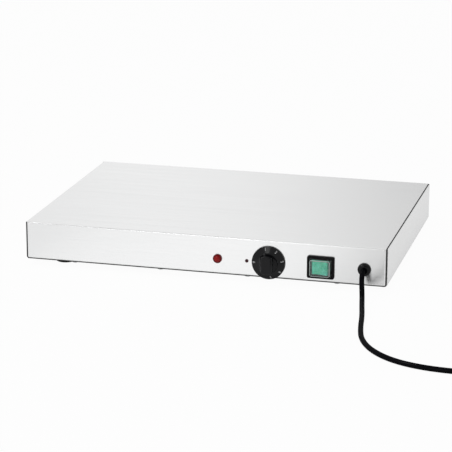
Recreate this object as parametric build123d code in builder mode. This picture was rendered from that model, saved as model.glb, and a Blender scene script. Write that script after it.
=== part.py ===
"""Electric warming plate: a flat stainless box on rubber feet, with its controls on the front.

Units are millimetres. +Z is up, the controls face -Y, and the origin is on the table under
the middle of the box that holds the whole appliance without its loose cord.
"""
import os
from math import cos, pi, radians, sin, sqrt, tan

from build123d import *

os.makedirs("parts", exist_ok=True)

# Case
CASE_W = 500.0
CASE_D = 345.0
CASE_H = 52.0
FOOT_H = 9.0
SHEET = 1.0
FOLD_R = 1.8
LOW_CORNER_R = 2.2
SEAL_W = 1.5
SEAL_T = 1.5
SEAL_IN = 1.0
SEAL_SIDE_IN = 0.7
RETURN_D = 15.0

# Control positions across the front, and their height above the bottom of the case
KNOB_X = 90.7
LAMP_X = 20.7
INDEX_X = 60.9
SWITCH_X = 161.3
GLAND_X = 219.5
CONTROL_H = 21.3
SWITCH_H = 20.5
GLAND_H = 22.0

# Knob
KNOB_REACH = 17.0
SKIRT_R = 22.5
GRIP_R = 13.5
BAR_W = 13.0

# Cord
CORD_D = 6.8
COIL_R = 44.5
COIL_LOOPS = 4.258
COIL_PITCH = 7.5
COIL_LAYER = 7.3
COIL_START = -78.0
TIE_T = 0.7

# Planes of the case, worked out from the sizes above
CASE_Y = KNOB_REACH / 2
FRONT = CASE_Y - CASE_D / 2
BACK = CASE_Y + CASE_D / 2
SIDE = CASE_W / 2
BASE_Z = FOOT_H
FLOOR_Z = BASE_Z + SHEET
TOP_Z = BASE_Z + CASE_H
SEAL_SIDE = SIDE - SEAL_SIDE_IN
HOOD_SIDE = SEAL_SIDE - SEAL_W
KNOB_Z = BASE_Z + CONTROL_H
SWITCH_Z = BASE_Z + SWITCH_H
GLAND_Z = BASE_Z + GLAND_H
PANEL_IN = FRONT + SHEET


def front_plane(y):
    """Plane that faces the user: local x runs along +X and local y along +Z."""
    return Plane(origin=(0, y, 0), x_dir=(1, 0, 0), z_dir=(0, -1, 0))


def turning_plane(x, z):
    """Plane through an axis along Y: local x is the radius, local y the way out of the panel."""
    return Plane(origin=(x, FRONT, z), x_dir=(1, 0, 0), z_dir=(0, 0, -1))


def save(piece, name):
    """Label a finished piece and write its STEP file."""
    piece.part.label = name
    export_step(piece.part, "parts/" + name + ".step")


# Hood: one five-sided pan, folded round at the front and back and crisp along both top sides


def rounded_block(inset):
    """Solid outline of the hood, shrunk on every side by the inset."""
    low_z = FLOOR_Z + inset
    high_z = TOP_Z - inset
    with BuildPart() as block:
        with BuildSketch(front_plane(BACK - inset)):
            with Locations((0, (low_z + high_z) / 2)):
                Rectangle(2 * (HOOD_SIDE - inset), high_z - low_z)
            fillet(vertices().group_by(Axis.Y)[0], LOW_CORNER_R - inset)
        extrude(amount=CASE_D - 2 * inset)
        fillet(faces().sort_by(Axis.Y)[0].edges(), FOLD_R - inset)
        fillet(faces().sort_by(Axis.Y)[-1].edges(), FOLD_R - inset)
    return block.part


SCREW_X = (-182.0, -60.5, 60.5, 182.0)
SCREW_IN = 8.0
SCREW_SPOTS = [(x, y) for x in SCREW_X for y in (FRONT + SCREW_IN, BACK - SCREW_IN)]
M4_HOLE_R = 2.2
OPENING_SIDE_LIP = 5.0

SPINDLE_HOLE_R = 5.0
THERMOSTAT_PITCH = 28.0
LAMP_HOLE_R = 5.1
INDEX_HOLE_R = 1.6
CUTOUT_W = 30.2
CUTOUT_H = 22.2
GLAND_HOLE_R = 6.4

outer_block = rounded_block(0)
inner_block = rounded_block(SHEET)

with BuildPart() as hood:
    add(outer_block)
    add(inner_block, mode=Mode.SUBTRACT)
    with BuildSketch(Plane.XY.offset(FLOOR_Z - 1)):
        with Locations((0, CASE_Y)):
            Rectangle(2 * (HOOD_SIDE - OPENING_SIDE_LIP), CASE_D - 2 * RETURN_D)
    extrude(amount=SHEET + 2, mode=Mode.SUBTRACT)
    with BuildSketch(Plane.XY.offset(FLOOR_Z - 1)):
        with Locations(*SCREW_SPOTS):
            Circle(M4_HOLE_R)
    extrude(amount=SHEET + 2, mode=Mode.SUBTRACT)
    with BuildSketch(front_plane(PANEL_IN + 1)):
        with Locations((KNOB_X, KNOB_Z)):
            Circle(SPINDLE_HOLE_R)
        with Locations((KNOB_X - THERMOSTAT_PITCH / 2, KNOB_Z), (KNOB_X + THERMOSTAT_PITCH / 2, KNOB_Z)):
            Circle(M4_HOLE_R)
        with Locations((LAMP_X, KNOB_Z)):
            Circle(LAMP_HOLE_R)
        with Locations((INDEX_X, KNOB_Z)):
            Circle(INDEX_HOLE_R)
        with Locations((SWITCH_X, SWITCH_Z)):
            Rectangle(CUTOUT_W, CUTOUT_H)
        with Locations((GLAND_X, GLAND_Z)):
            Circle(GLAND_HOLE_R)
    extrude(amount=SHEET + 2, mode=Mode.SUBTRACT)
save(hood, "hood")

# Base tray: bottom sheet with both side walls folded up outside the hood, short of its front and back

WALL_TOP = TOP_Z - 1.05
WALL_IN = SEAL_IN + SEAL_T
TRAY_BEND_R = 3.0
FOOT_X = 204.5
FOOT_IN = 35.2
LEAD_FOOT_IN = 43.2
FOOT_SPOTS = {
    "front_left": (-FOOT_X, FRONT + FOOT_IN),
    "front_right": (FOOT_X, FRONT + LEAD_FOOT_IN),
    "back_left": (-FOOT_X, BACK - FOOT_IN),
    "back_right": (FOOT_X, BACK - FOOT_IN),
}
VENT_L = 34.0
VENT_W = 4.0
VENT_PITCH = 9.0
VENT_ROWS = 5

with BuildPart() as base_tray:
    with BuildSketch(front_plane(BACK - WALL_IN)):
        with Locations((0, (BASE_Z + WALL_TOP) / 2)):
            Rectangle(CASE_W, WALL_TOP - BASE_Z)
        fillet(vertices().group_by(Axis.Y)[0], TRAY_BEND_R)
        with BuildSketch(mode=Mode.PRIVATE) as channel:
            with Locations((0, (FLOOR_Z + WALL_TOP + 1) / 2)):
                Rectangle(CASE_W - 2 * SHEET, WALL_TOP + 1 - FLOOR_Z)
            fillet(vertices().group_by(Axis.Y)[0], TRAY_BEND_R - SHEET)
        add(channel.sketch, mode=Mode.SUBTRACT)
    extrude(amount=CASE_D - 2 * WALL_IN)
    with BuildSketch(Plane.XY.offset(BASE_Z - 1)):
        with Locations(*SCREW_SPOTS, *FOOT_SPOTS.values()):
            Circle(M4_HOLE_R)
        with Locations((-110, CASE_Y), (110, CASE_Y)):
            with GridLocations(0, VENT_PITCH, 1, VENT_ROWS):
                SlotOverall(VENT_L, VENT_W)
    extrude(amount=SHEET + 2, mode=Mode.SUBTRACT)
save(base_tray, "base_tray")

# Edge seal: black frame round each end of the tray, and a strip on the hood in both top seams

SEAL_TOP = TOP_Z - 0.6
SEAL_STRIP_H = 3.0
SEAL_STRIP_W = 0.5

with BuildPart() as edge_seal:
    for seal_y in (FRONT + WALL_IN, BACK - SEAL_IN):
        with BuildSketch(front_plane(seal_y)):
            with Locations((0, (BASE_Z + SEAL_TOP) / 2)):
                Rectangle(2 * SEAL_SIDE, SEAL_TOP - BASE_Z)
            fillet(vertices().group_by(Axis.Y)[0], LOW_CORNER_R + SHEET)
            with BuildSketch(mode=Mode.PRIVATE) as seal_window:
                with Locations((0, (FLOOR_Z + SEAL_TOP + 1) / 2)):
                    Rectangle(2 * HOOD_SIDE, SEAL_TOP + 1 - FLOOR_Z)
                fillet(vertices().group_by(Axis.Y)[0], LOW_CORNER_R)
            add(seal_window.sketch, mode=Mode.SUBTRACT)
        extrude(amount=SEAL_T)
    with BuildSketch(front_plane(BACK - SEAL_IN)):
        for strip_x in (-1, 1):
            with Locations((strip_x * (HOOD_SIDE + SEAL_STRIP_W / 2), SEAL_TOP - SEAL_STRIP_H / 2)):
                Rectangle(SEAL_STRIP_W, SEAL_STRIP_H)
    extrude(amount=CASE_D - 2 * SEAL_IN)
save(edge_seal, "edge_seal")

# Fasteners of the case

HEAD_R = 4.0
HEAD_H = 2.3
SHANK_R = 1.95
CROSS_W = 0.9
CROSS_L = 4.4
CROSS_DEPTH = 1.1


def pan_screws(spots, under_head, length):
    """Group of pan-head screws that point up, one at each spot, with the head's seat at under_head."""
    low = under_head - HEAD_H
    with BuildPart() as group:
        with BuildSketch(Plane.XY.offset(low)):
            with Locations(*spots):
                Circle(HEAD_R)
        extrude(amount=HEAD_H)
        fillet(edges().group_by(Axis.Z)[0], 1.3)
        with BuildSketch(Plane.XY.offset(under_head)):
            with Locations(*spots):
                Circle(SHANK_R)
        extrude(amount=length)
        with BuildSketch(Plane.XY.offset(low)):
            with Locations(*spots):
                Rectangle(CROSS_L, CROSS_W)
                Rectangle(CROSS_W, CROSS_L)
        extrude(amount=CROSS_DEPTH, mode=Mode.SUBTRACT)
    return group


def nuts(spots, seat, outer, height, hexagon=True):
    """Group of nuts standing on a level, one at each spot."""
    with BuildPart() as group:
        with BuildSketch(Plane.XY.offset(seat)):
            with Locations(*spots):
                if hexagon:
                    RegularPolygon(outer, 6)
                else:
                    Circle(outer)
                Circle(SHANK_R + 0.08, mode=Mode.SUBTRACT)
        extrude(amount=height)
    return group


CLINCH_NUT_R = 4.2
CLINCH_NUT_H = 3.0
HEX_R = 4.0
HEX_H = 3.2

hood_screws = pan_screws(SCREW_SPOTS, BASE_Z, 6.0)
save(hood_screws, "hood_screws")
clinch_nuts = nuts(SCREW_SPOTS, FLOOR_Z + SHEET, CLINCH_NUT_R, CLINCH_NUT_H, hexagon=False)
save(clinch_nuts, "clinch_nuts")

# Feet: turned rubber buffers, each held by a screw in a deep counterbore

FOOT_TOP_R = 14.7
FOOT_LOW_R = 13.6
FOOT_BORE_R = 5.0
FOOT_BORE_DEPTH = 4.6

for corner, (foot_x, foot_y) in FOOT_SPOTS.items():
    with BuildPart() as foot:
        with BuildSketch(Plane(origin=(foot_x, foot_y, 0), x_dir=(1, 0, 0), z_dir=(0, -1, 0))):
            with BuildLine():
                Polyline(
                    (M4_HOLE_R, FOOT_BORE_DEPTH),
                    (FOOT_BORE_R, FOOT_BORE_DEPTH),
                    (FOOT_BORE_R, 0),
                    (FOOT_LOW_R - 0.8, 0),
                )
                TangentArc((FOOT_LOW_R - 0.8, 0), (FOOT_LOW_R, 0.8), tangent=(1, 0))
                Polyline(
                    (FOOT_LOW_R, 0.8),
                    (FOOT_TOP_R, FOOT_H - 2),
                    (FOOT_TOP_R, FOOT_H),
                    (M4_HOLE_R, FOOT_H),
                    (M4_HOLE_R, FOOT_BORE_DEPTH),
                )
            make_face()
        revolve(axis=Axis((foot_x, foot_y, 0), (0, 0, 1)))
    save(foot, "foot_" + corner)

FOOT_SCREW_SPOTS = list(FOOT_SPOTS.values())
foot_screws = pan_screws(FOOT_SCREW_SPOTS, FOOT_BORE_DEPTH, 9.0)
save(foot_screws, "foot_screws")
foot_nuts = nuts(FOOT_SCREW_SPOTS, FLOOR_Z, HEX_R, HEX_H)
save(foot_nuts, "foot_nuts")

# Heater stack under the top: spreader, mica, ribbon, mica, clamp plate and insulation

HEATER_FRONT = FRONT + 76.0
HEATER_BACK = BACK - 14.0
HEATER_W = 452.0
HEATER_D = HEATER_BACK - HEATER_FRONT
HEATER_Y = (HEATER_FRONT + HEATER_BACK) / 2
SPREADER_FRONT = FRONT + 12.0
SPREADER_D = HEATER_BACK - SPREADER_FRONT
SPREADER_Y = (SPREADER_FRONT + HEATER_BACK) / 2
SPREADER_T = 2.0
MICA_T = 0.6
RIBBON_T = 0.4
CLAMP_T = 1.2
WOOL_T = 12.0
STUD_R = 2.0
STUD_HOLE_R = 2.4
STUD_X = 170.0
STUD_Y = 90.0
STUD_SPOTS = [(x, HEATER_Y + y) for x in (-STUD_X, 0, STUD_X) for y in (-STUD_Y, STUD_Y)]
CEILING = TOP_Z - SHEET


def heater_layer(top, thickness, width, depth, centre_y, corner=6.0):
    """One flat layer of the heater with a clear hole for each welded stud."""
    with BuildPart() as layer:
        with BuildSketch(Plane.XY.offset(top)):
            with Locations((0, centre_y)):
                RectangleRounded(width, depth, corner)
            with Locations(*STUD_SPOTS):
                Circle(STUD_HOLE_R, mode=Mode.SUBTRACT)
        extrude(amount=-thickness)
    return layer


mica_top = CEILING - SPREADER_T
ribbon_top = mica_top - MICA_T
lower_mica_top = ribbon_top - RIBBON_T
clamp_top = lower_mica_top - MICA_T
wool_top = clamp_top - CLAMP_T
wool_low = wool_top - WOOL_T

heat_spreader = heater_layer(CEILING, SPREADER_T, HEATER_W + 16, SPREADER_D, SPREADER_Y, 10.0)
save(heat_spreader, "heat_spreader")
mica_upper = heater_layer(mica_top, MICA_T, HEATER_W, HEATER_D, HEATER_Y)
save(mica_upper, "mica_upper")
mica_lower = heater_layer(lower_mica_top, MICA_T, HEATER_W, HEATER_D, HEATER_Y)
save(mica_lower, "mica_lower")
clamp_plate = heater_layer(clamp_top, CLAMP_T, HEATER_W, HEATER_D, HEATER_Y)
save(clamp_plate, "clamp_plate")
insulation_blanket = heater_layer(wool_top, WOOL_T, HEATER_W, HEATER_D, HEATER_Y, 12.0)
save(insulation_blanket, "insulation_blanket")

RIBBON_W = 5.0
RIBBON_PITCH = 22.5
RIBBON_RUNS = 10
RIBBON_HALF = 205.0
RUN_YS = [HEATER_Y + (run - (RIBBON_RUNS - 1) / 2) * RIBBON_PITCH for run in range(RIBBON_RUNS)]

with BuildPart() as heating_ribbon:
    with BuildSketch(Plane.XY.offset(ribbon_top)):
        for run, run_y in enumerate(RUN_YS):
            with Locations((0, run_y)):
                Rectangle(2 * RIBBON_HALF, RIBBON_W)
            if run < RIBBON_RUNS - 1:
                side = 1 if run % 2 == 0 else -1
                with Locations((side * (RIBBON_HALF - RIBBON_W / 2), run_y + RIBBON_PITCH / 2)):
                    Rectangle(RIBBON_W, RIBBON_PITCH)
    extrude(amount=-RIBBON_T)
save(heating_ribbon, "heating_ribbon")

STUD_L = CEILING - wool_low + 5.0
WASHER_R = 11.0
WASHER_T = 1.0

with BuildPart() as heater_studs:
    with BuildSketch(Plane.XY.offset(CEILING)):
        with Locations(*STUD_SPOTS):
            Circle(STUD_R - 0.05)
    extrude(amount=-STUD_L)
save(heater_studs, "heater_studs")

with BuildPart() as insulation_washers:
    with BuildSketch(Plane.XY.offset(wool_low)):
        with Locations(*STUD_SPOTS):
            Circle(WASHER_R)
            Circle(STUD_HOLE_R, mode=Mode.SUBTRACT)
    extrude(amount=-WASHER_T)
save(insulation_washers, "insulation_washers")

heater_nuts = nuts(STUD_SPOTS, wool_low - WASHER_T - HEX_H, HEX_R, HEX_H)
save(heater_nuts, "heater_nuts")

# Thermostat: box behind the panel, its spindle, its sensing bulb and the tube between them

THERMO_W = 44.0
THERMO_H = 34.0
THERMO_D = 30.0
SPINDLE_R = 3.0
SPINDLE_FIT = 0.05
SPINDLE_IN = 16.0
SPINDLE_OUT = 13.0
FLAT_OUT = 4.0
FLAT_KEEP = 1.6
BORE_RELIEF = 0.4
TERMINAL_T = 0.8
TERMINAL_W = 6.3
TERMINAL_L = 8.0
THERMO_BACK = PANEL_IN + THERMO_D

with BuildPart() as thermostat_body:
    with BuildSketch(front_plane(PANEL_IN)):
        with Locations((KNOB_X, KNOB_Z)):
            RectangleRounded(THERMO_W, THERMO_H, 3.0)
    extrude(amount=-THERMO_D)
    fillet(faces().sort_by(Axis.Y)[-1].edges(), 1.5)
    with BuildSketch(front_plane(PANEL_IN)):
        with Locations((KNOB_X, KNOB_Z)):
            Circle(SPINDLE_R + SPINDLE_FIT)
    extrude(amount=-SPINDLE_IN - 0.5, mode=Mode.SUBTRACT)
    with BuildSketch(front_plane(PANEL_IN)):
        with Locations((KNOB_X - THERMOSTAT_PITCH / 2, KNOB_Z), (KNOB_X + THERMOSTAT_PITCH / 2, KNOB_Z)):
            Circle(SHANK_R + 0.08)
    extrude(amount=-7.0, mode=Mode.SUBTRACT)
save(thermostat_body, "thermostat_body")


def terminal_blades(name, spots, y_from, length):
    """Group of push-on blades standing out of the back of a component."""
    with BuildPart() as blades:
        with BuildSketch(front_plane(y_from)):
            with Locations(*spots):
                Rectangle(TERMINAL_T, TERMINAL_W)
        extrude(amount=-length)
    save(blades, name)


THERMO_BLADES = [(KNOB_X - 12, KNOB_Z - 8), (KNOB_X + 2, KNOB_Z - 8)]
terminal_blades("thermostat_terminals", THERMO_BLADES, THERMO_BACK, TERMINAL_L)

with BuildPart() as thermostat_screws:
    with BuildSketch(front_plane(FRONT)):
        with Locations((KNOB_X - THERMOSTAT_PITCH / 2, KNOB_Z), (KNOB_X + THERMOSTAT_PITCH / 2, KNOB_Z)):
            Circle(HEAD_R - 0.5)
    extrude(amount=2.0)
    fillet(edges().group_by(Axis.Y)[0], 1.0)
    with BuildSketch(front_plane(FRONT)):
        with Locations((KNOB_X - THERMOSTAT_PITCH / 2, KNOB_Z), (KNOB_X + THERMOSTAT_PITCH / 2, KNOB_Z)):
            Circle(SHANK_R)
    extrude(amount=-7.0)
save(thermostat_screws, "thermostat_screws")

with BuildPart() as thermostat_spindle:
    with BuildSketch(front_plane(PANEL_IN + SPINDLE_IN)):
        with Locations((KNOB_X, KNOB_Z)):
            Circle(SPINDLE_R)
    extrude(amount=SPINDLE_IN + SHEET + SPINDLE_OUT)
    with BuildSketch(front_plane(FRONT - FLAT_OUT)):
        with Locations((KNOB_X, KNOB_Z + FLAT_KEEP + SPINDLE_R)):
            Rectangle(4 * SPINDLE_R, 2 * SPINDLE_R)
    extrude(amount=SPINDLE_OUT, mode=Mode.SUBTRACT)
save(thermostat_spindle, "thermostat_spindle")

# Knob: thin conical skirt for the numbers, round grip with a finger scoop each side of a bar

SKIRT_GAP = 1.0
SKIRT_EDGE_T = 1.4
CONE_OUT = 5.6
HUB_R = 8.0
HOLLOW_R = 20.0
HOLLOW_OUT = 3.6
GRIP_TIP_R = 12.6
GRIP_ROUND = 1.6
SCOOP_R = 12.0
SCOOP_OUT = KNOB_REACH + 2.0
SCOOP_X = BAR_W / 2 + sqrt(SCOOP_R**2 - (SCOOP_OUT - KNOB_REACH) ** 2)

with BuildPart() as knob:
    with BuildSketch(turning_plane(KNOB_X, KNOB_Z)):
        with BuildLine():
            Polyline(
                (0, SKIRT_GAP),
                (HUB_R, SKIRT_GAP),
                (HUB_R, HOLLOW_OUT),
                (HOLLOW_R - 3.5, HOLLOW_OUT),
                (HOLLOW_R, SKIRT_GAP + 0.6),
                (HOLLOW_R, SKIRT_GAP),
                (SKIRT_R - 0.4, SKIRT_GAP),
                (SKIRT_R, SKIRT_GAP + 0.4),
                (SKIRT_R, SKIRT_GAP + SKIRT_EDGE_T),
                (GRIP_R + 1.2, CONE_OUT),
            )
            RadiusArc((GRIP_R + 1.2, CONE_OUT), (GRIP_R, CONE_OUT + 1.2), 1.6)
            Line((GRIP_R, CONE_OUT + 1.2), (GRIP_TIP_R, KNOB_REACH))
            Line((GRIP_TIP_R, KNOB_REACH), (0, KNOB_REACH))
            Line((0, KNOB_REACH), (0, SKIRT_GAP))
        make_face()
    revolve(axis=Axis((KNOB_X, FRONT, KNOB_Z), (0, 1, 0)))
    for scoop_side in (-1, 1):
        with BuildSketch(Plane.XY.offset(KNOB_Z - GRIP_R - 1)):
            with Locations((KNOB_X + scoop_side * SCOOP_X, FRONT - SCOOP_OUT)):
                Circle(SCOOP_R)
        extrude(amount=2 * GRIP_R + 2, mode=Mode.SUBTRACT)
    fillet(faces().sort_by(Axis.Y)[0].edges(), GRIP_ROUND)
    with BuildSketch(front_plane(FRONT)):
        with Locations((KNOB_X, KNOB_Z)):
            Circle(SPINDLE_R + SPINDLE_FIT)
    extrude(amount=FLAT_OUT + BORE_RELIEF, mode=Mode.SUBTRACT)
    with BuildSketch(front_plane(FRONT - FLAT_OUT)):
        with Locations((KNOB_X, KNOB_Z)):
            Circle(SPINDLE_R + SPINDLE_FIT)
            with Locations((0, FLAT_KEEP + SPINDLE_FIT + SPINDLE_R)):
                Rectangle(4 * SPINDLE_R, 2 * SPINDLE_R, mode=Mode.SUBTRACT)
    extrude(amount=SPINDLE_OUT - FLAT_OUT + BORE_RELIEF, mode=Mode.SUBTRACT)
save(knob, "knob")

# Sensing bulb under the spreader, its clip, and the capillary tube from the thermostat

BULB_R = 3.0
BULB_L = 86.0
BULB_X = 20.0
BULB_Y = FRONT + 62.0
BULB_Z = mica_top - BULB_R - 0.1
CAPILLARY_R = 0.8
CAPILLARY_BEND = 6.0

with BuildPart() as sensor_bulb:
    with BuildSketch(Plane(origin=(BULB_X, BULB_Y, BULB_Z), x_dir=(0, 1, 0), z_dir=(1, 0, 0))):
        Circle(BULB_R)
    extrude(amount=BULB_L / 2, both=True)
    fillet(edges().filter_by(GeomType.CIRCLE), 1.2)
save(sensor_bulb, "sensor_bulb")

CLIP_SPOTS = (-26.0, 26.0)
CLIP_T = 0.8
CLIP_W = 8.0
CLIP_INNER = BULB_R + 0.15
CLIP_EAR = 7.0

with BuildPart() as bulb_clips:
    for clip_x in CLIP_SPOTS:
        clip_plane = Plane(origin=(BULB_X + clip_x, BULB_Y, BULB_Z), x_dir=(0, 1, 0), z_dir=(1, 0, 0))
        ear_z = mica_top - BULB_Z - CLIP_T / 2
        with BuildSketch(clip_plane):
            Circle(CLIP_INNER + CLIP_T)
            with Locations((0, ear_z)):
                Rectangle(2 * (CLIP_INNER + CLIP_T + CLIP_EAR), CLIP_T)
            Circle(CLIP_INNER, mode=Mode.SUBTRACT)
            with Locations((0, CLIP_INNER)):
                Rectangle(2 * CLIP_INNER, 2 * CLIP_INNER, mode=Mode.SUBTRACT)
        extrude(amount=CLIP_W / 2, both=True)
save(bulb_clips, "bulb_clips")

CAPILLARY_START = (KNOB_X + 12, THERMO_BACK, KNOB_Z + 8)
CAPILLARY_END = (BULB_X + BULB_L / 2, BULB_Y, BULB_Z)


def tube(path_points, radius, bend):
    """Round tube swept along straight runs joined by tangent arcs."""
    with BuildPart() as run:
        with BuildLine() as path:
            FilletPolyline(*path_points, radius=bend)
        with BuildSketch(Plane(origin=path.line @ 0, z_dir=path.line % 0)):
            Circle(radius)
        sweep(path=path.line)
    return run


capillary_tube = tube(
    [
        CAPILLARY_START,
        (KNOB_X + 12, THERMO_BACK + 14, KNOB_Z + 8),
        (KNOB_X + 12, BULB_Y, BULB_Z),
        CAPILLARY_END,
    ],
    CAPILLARY_R,
    CAPILLARY_BEND,
)
save(capillary_tube, "capillary_tube")

# Red enamelled index dot beside the knob, and the red pilot lamp

INDEX_HEAD_R = 2.4
INDEX_HEAD_T = 0.8

with BuildPart() as index_dot:
    with BuildSketch(front_plane(FRONT)):
        with Locations((INDEX_X, KNOB_Z)):
            Circle(INDEX_HEAD_R)
    extrude(amount=INDEX_HEAD_T)
    fillet(edges().group_by(Axis.Y)[0], 0.5)
    with BuildSketch(front_plane(FRONT)):
        with Locations((INDEX_X, KNOB_Z)):
            Circle(INDEX_HOLE_R - 0.05)
    extrude(amount=-3.0)
save(index_dot, "index_dot")

LENS_R = 6.1
LENS_OUT = 4.2
LENS_RIM_OUT = 1.6
LAMP_BODY_R = 5.0
LAMP_BODY_L = 26.0
LAMP_NECK_IN = 4.0

with BuildPart() as pilot_lamp_lens:
    with BuildSketch(turning_plane(LAMP_X, KNOB_Z)):
        with BuildLine():
            Polyline(
                (0, LENS_OUT),
                (0, -LAMP_NECK_IN),
                (LAMP_BODY_R, -LAMP_NECK_IN),
                (LAMP_BODY_R, 0),
                (LENS_R, 0),
                (LENS_R, LENS_RIM_OUT),
                (LENS_R - 0.9, LENS_RIM_OUT + 0.5),
            )
            TangentArc((0, LENS_OUT), (LENS_R - 0.9, LENS_RIM_OUT + 0.5), tangent=(1, 0))
        make_face()
    revolve(axis=Axis((LAMP_X, FRONT, KNOB_Z), (0, 1, 0)))
save(pilot_lamp_lens, "pilot_lamp_lens")

with BuildPart() as pilot_lamp_body:
    with BuildSketch(front_plane(FRONT + LAMP_NECK_IN)):
        with Locations((LAMP_X, KNOB_Z)):
            Circle(LAMP_BODY_R)
    extrude(amount=-LAMP_BODY_L)
    fillet(edges().group_by(Axis.Y)[-1], 1.0)
save(pilot_lamp_body, "pilot_lamp_body")

LAMP_BACK = FRONT + LAMP_NECK_IN + LAMP_BODY_L
terminal_blades("pilot_lamp_terminals", [(LAMP_X - 2.4, KNOB_Z), (LAMP_X + 2.4, KNOB_Z)], LAMP_BACK, 7.0)

LAMP_CLIP_R = 8.0
LAMP_CLIP_T = 1.2

with BuildPart() as pilot_lamp_clip:
    with BuildSketch(front_plane(PANEL_IN)):
        with Locations((LAMP_X, KNOB_Z)):
            Circle(LAMP_CLIP_R)
            Circle(LAMP_BODY_R + 0.05, mode=Mode.SUBTRACT)
            with PolarLocations(LAMP_CLIP_R, 6):
                Circle(1.5, mode=Mode.SUBTRACT)
    extrude(amount=-LAMP_CLIP_T)
save(pilot_lamp_clip, "pilot_lamp_clip")

# Rocker switch: housing through the panel, black frame, clear splash cover and green rocker

FRAME_W = 36.6
FRAME_H = 30.5
FRAME_OUT = 3.6
WINDOW_W = 31.4
WINDOW_H = 25.4
FLANGE_W = 31.0
FLANGE_H = 25.0
FLANGE_T = 1.2
HOUSING_W = 29.8
HOUSING_H = 21.8
HOUSING_IN = 24.0
RIM_OUT = 2.4
ROCKER_W = 21.4
ROCKER_H = 18.2
POCKET_W = 23.8
POCKET_H = 19.0
POCKET_IN = 8.0
PIVOT_R = 1.2
PIVOT_FIT = 0.05
PIVOT_IN = 1.5
PIVOT_REACH = ROCKER_H / 2 + 1.0
ROCKER_TILT = 8.0
PIVOT_AXIS = Axis((SWITCH_X, FRONT + PIVOT_IN, 0), (0, 0, 1))

with BuildPart() as switch_frame:
    with BuildSketch(front_plane(FRONT)):
        with Locations((SWITCH_X, SWITCH_Z)):
            RectangleRounded(FRAME_W, FRAME_H, 2.6)
    extrude(amount=FRAME_OUT)
    fillet(edges().group_by(Axis.Y)[0], 1.4)
    with BuildSketch(front_plane(FRONT)):
        with Locations((SWITCH_X, SWITCH_Z)):
            RectangleRounded(WINDOW_W, WINDOW_H, 1.8)
    extrude(amount=FRAME_OUT, mode=Mode.SUBTRACT)
save(switch_frame, "switch_frame")

with BuildPart() as switch_housing:
    with BuildSketch(front_plane(FRONT)):
        with Locations((SWITCH_X, SWITCH_Z)):
            RectangleRounded(FLANGE_W, FLANGE_H, 1.6)
    extrude(amount=FLANGE_T)
    with BuildSketch(front_plane(FRONT - RIM_OUT)):
        with Locations((SWITCH_X, SWITCH_Z)):
            RectangleRounded(POCKET_W + 3.2, POCKET_H + 2.6, 1.2)
    extrude(amount=-RIM_OUT)
    with BuildSketch(front_plane(FRONT)):
        with Locations((SWITCH_X, SWITCH_Z)):
            RectangleRounded(HOUSING_W, HOUSING_H, 1.0)
    extrude(amount=-HOUSING_IN)
    with BuildSketch(front_plane(FRONT - RIM_OUT - 1)):
        with Locations((SWITCH_X, SWITCH_Z)):
            RectangleRounded(POCKET_W, POCKET_H, 0.8)
    extrude(amount=-RIM_OUT - 1 - POCKET_IN, mode=Mode.SUBTRACT)
    with BuildSketch(Plane.XY.offset(SWITCH_Z - PIVOT_REACH - 0.2)):
        with Locations((SWITCH_X, FRONT + PIVOT_IN)):
            Circle(PIVOT_R + PIVOT_FIT)
    extrude(amount=2 * PIVOT_REACH + 0.4, mode=Mode.SUBTRACT)
save(switch_housing, "switch_housing")

SWITCH_BACK = FRONT + HOUSING_IN
SWITCH_BLADES = [(SWITCH_X + dx, SWITCH_Z + dz) for dx in (-8.0, 8.0) for dz in (-6.0, 6.0)]
terminal_blades("switch_terminals", SWITCH_BLADES, SWITCH_BACK, TERMINAL_L)

ROCKER_END_OUT = 4.6
ROCKER_MID_OUT = 3.5
ROCKER_DEEP = 3.5

with BuildPart() as rocker:
    with BuildSketch(Plane.XY.offset(SWITCH_Z - ROCKER_H / 2)):
        with BuildLine():
            Polyline(
                (SWITCH_X - ROCKER_W / 2, FRONT + ROCKER_DEEP),
                (SWITCH_X - ROCKER_W / 2, FRONT - ROCKER_END_OUT),
                (SWITCH_X, FRONT - ROCKER_MID_OUT),
                (SWITCH_X + ROCKER_W / 2, FRONT - ROCKER_END_OUT),
                (SWITCH_X + ROCKER_W / 2, FRONT + ROCKER_DEEP),
                close=True,
            )
        make_face()
    extrude(amount=ROCKER_H)
    fillet(faces().sort_by(Axis.X)[0].edges().sort_by(Axis.Y)[0], 0.8)
    fillet(faces().sort_by(Axis.X)[-1].edges().sort_by(Axis.Y)[0], 0.8)
    with BuildSketch(Plane.XY.offset(SWITCH_Z - PIVOT_REACH)):
        with Locations((SWITCH_X, FRONT + PIVOT_IN)):
            Circle(PIVOT_R)
    extrude(amount=2 * PIVOT_REACH)
rocker.part = rocker.part.rotate(PIVOT_AXIS, -ROCKER_TILT)
save(rocker, "rocker")

COVER_OUT = 9.0
COVER_WALL = 1.2
COVER_BASE_W = 31.0
COVER_BASE_H = 25.0
COVER_FACE_W = 26.8
COVER_FACE_H = 21.7


def cover_block(inset, reach):
    """Tapered block of the splash cover, shrunk by the inset and ending at the given reach."""
    with BuildPart() as block:
        with BuildSketch(front_plane(FRONT - FLANGE_T)):
            with Locations((SWITCH_X, SWITCH_Z)):
                RectangleRounded(COVER_BASE_W - 2 * inset, COVER_BASE_H - 2 * inset, 2.4 - inset)
        with BuildSketch(front_plane(FRONT - reach)):
            with Locations((SWITCH_X, SWITCH_Z)):
                RectangleRounded(COVER_FACE_W - 2 * inset, COVER_FACE_H - 2 * inset, 2.4 - inset)
        loft(ruled=True)
    return block.part


cover_outer = cover_block(0, COVER_OUT)
cover_inner = cover_block(COVER_WALL, COVER_OUT - COVER_WALL)

with BuildPart() as splash_cover:
    add(cover_outer)
    add(cover_inner, mode=Mode.SUBTRACT)
save(splash_cover, "splash_cover")

# Strain relief: round domed head outside, tapered clamp inside, with the cord through it

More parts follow.
